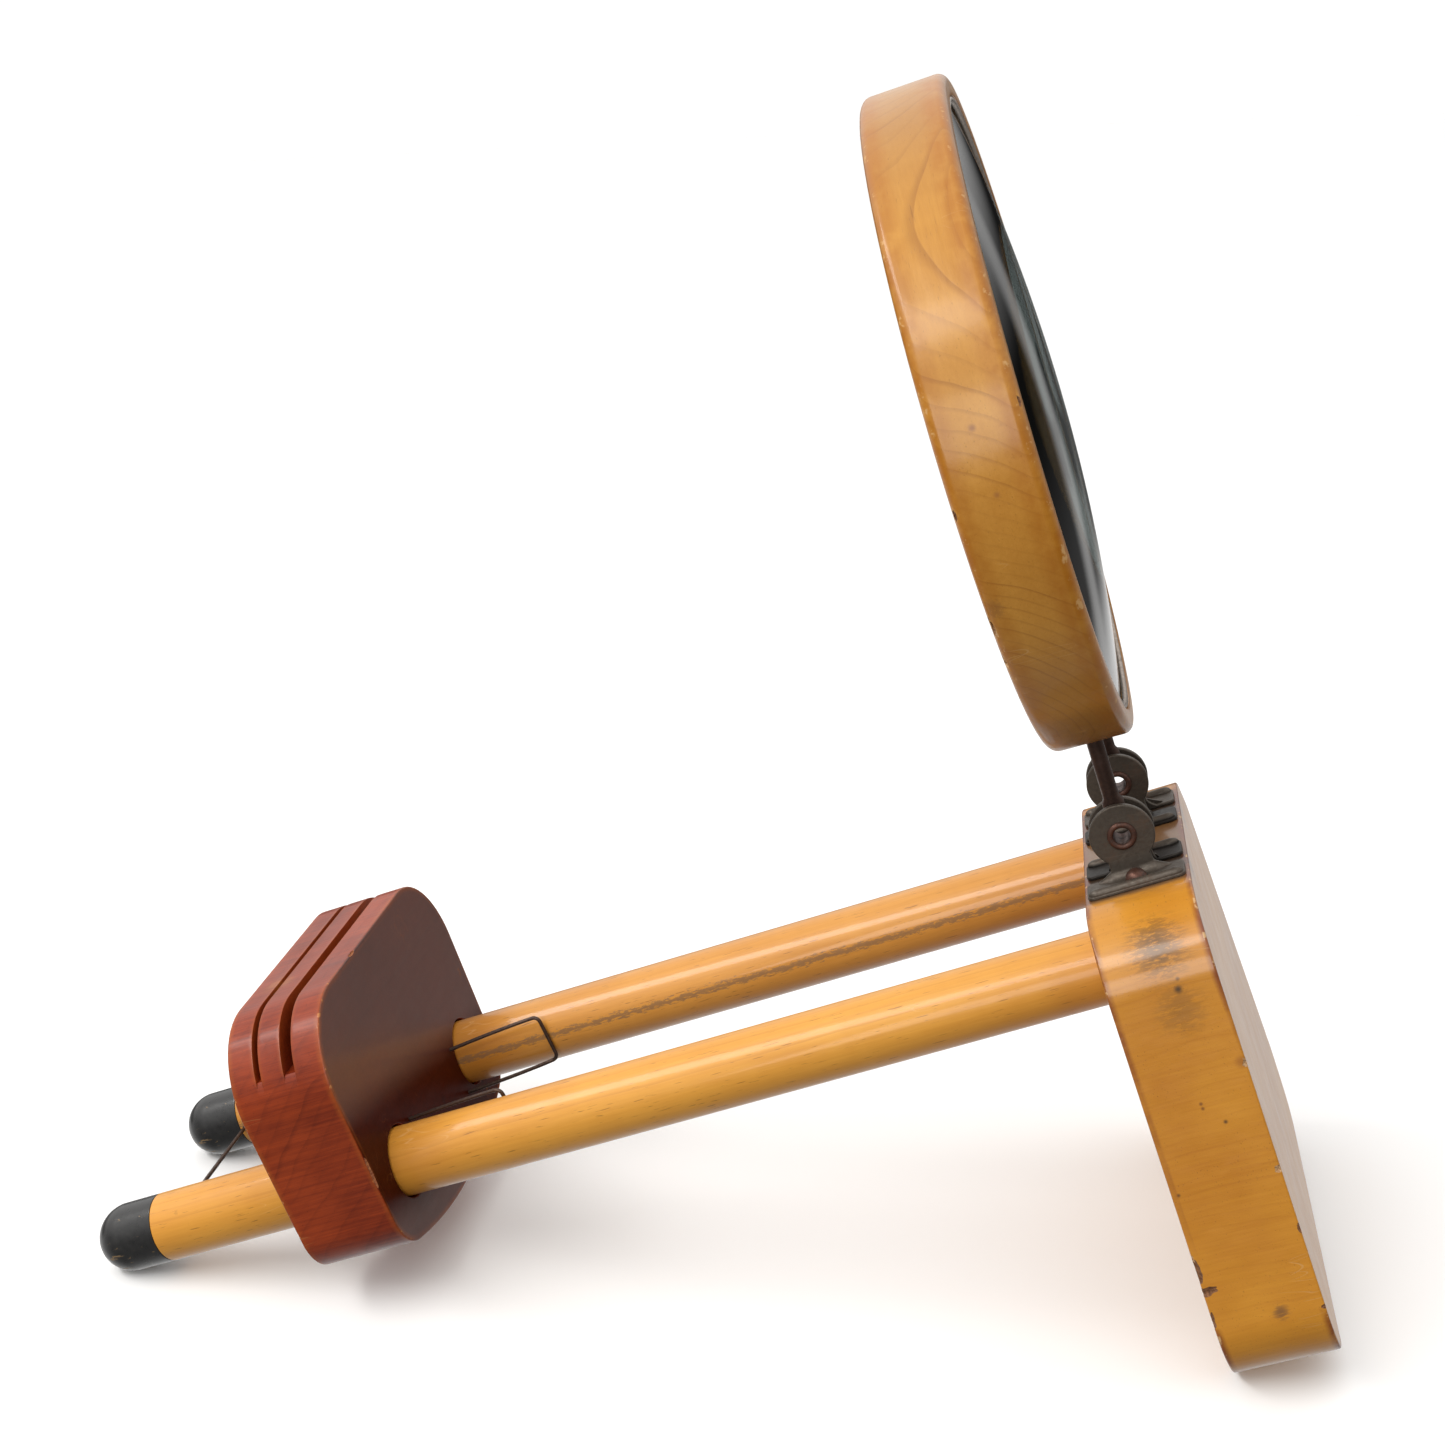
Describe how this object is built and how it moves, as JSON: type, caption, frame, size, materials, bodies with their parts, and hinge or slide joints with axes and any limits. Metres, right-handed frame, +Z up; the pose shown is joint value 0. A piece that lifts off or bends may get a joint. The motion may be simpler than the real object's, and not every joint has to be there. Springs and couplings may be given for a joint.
{
  "type": "folding magnifier stand",
  "caption": "Folding picture magnifier: a large round lens hinged on a wooden block, with a slotted card carriage sliding along two dowels.",
  "frame": {"origin": "on the ground, under the middle of the bounding box", "axes": "+X along the stand from the domed dowel tips to the block, seen from above; +Y across, from the front dowel to the rear dowel; +Z up"},
  "size_m": [0.336, 0.1666, 0.3135],
  "materials": {
    "block_wood": "varnished, honey coloured",
    "dowel_wood": "varnished, honey coloured",
    "ring_wood": "varnished, amber",
    "mahogany_wood": "dark red-brown lacquer",
    "black_lacquer": "glossy black, scuffed",
    "lens_glass": "polished",
    "bead_metal": "dull wire",
    "wire": "browned spring wire",
    "hinge_steel": "bronzed, worn grey",
    "stem_steel": "browned",
    "rivet_metal": "dull copper brown",
    "screw_metal": "dull copper brown"
  },
  "bodies": {
    "base": {"base_block": "block_wood", "front_dowel": "dowel_wood", "rear_dowel": "dowel_wood", "front_dowel_cap": "black_lacquer", "rear_dowel_cap": "black_lacquer", "stop_wire": "wire", "front_hinge_outer_bracket": "hinge_steel", "front_hinge_inner_bracket": "hinge_steel", "rear_hinge_inner_bracket": "hinge_steel", "rear_hinge_outer_bracket": "hinge_steel", "front_hollow_rivet": "rivet_metal", "rear_hollow_rivet": "rivet_metal", "hinge_screws": "screw_metal"},
    "carriage": {"picture_carriage": "mahogany_wood", "front_friction_spring": "wire", "rear_friction_spring": "wire"},
    "lens_head": {"lens_ring": "ring_wood", "lens": "lens_glass", "lens_retaining_ring": "bead_metal", "front_hinge_stem": "stem_steel", "rear_hinge_stem": "stem_steel"}
  },
  "joints": [
    {"name": "carriage_slide", "type": "slide", "parent": "base", "child": "carriage", "axis": [0.9489, 0, 0.3157], "range_m": [-0.045, 0.165]},
    {"name": "lens_fold", "type": "hinge", "parent": "base", "child": "lens_head", "pos_m": [0.11346, 0, 0.1297], "axis": [0, 1, 0], "range_deg": [-45, 118]}
  ]
}
